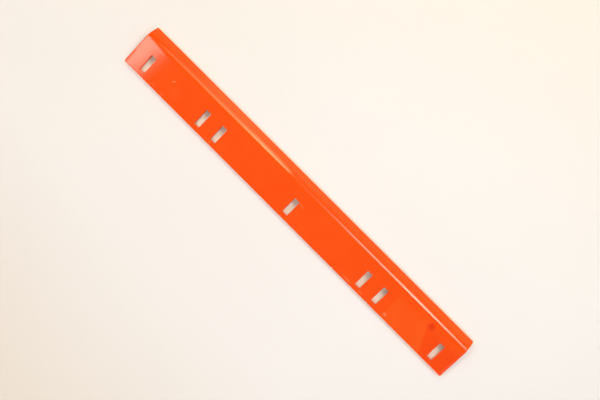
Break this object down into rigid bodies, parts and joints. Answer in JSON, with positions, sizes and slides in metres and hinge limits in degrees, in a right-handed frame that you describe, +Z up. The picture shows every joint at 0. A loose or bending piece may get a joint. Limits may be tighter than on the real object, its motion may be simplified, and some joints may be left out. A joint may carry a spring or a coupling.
{
  "type": "scraper blade",
  "caption": "Long flat steel strip folded along one edge into a narrow lip, with slots across its wide flange for bolts, coated in orange.",
  "frame": {"origin": "on the table under the middle of the blade, which lies ridge up on its two long edges", "axes": "+X along the blade, +Y across it from the slotted flange to the lip, +Z up through the ridge"},
  "size_m": [0.61, 0.0652, 0.013],
  "materials": {
    "orange_powder_coat": "glossy powder coat over steel"
  },
  "bodies": {
    "root": {"scraper_blade": "orange_powder_coat"}
  },
  "joints": []
}
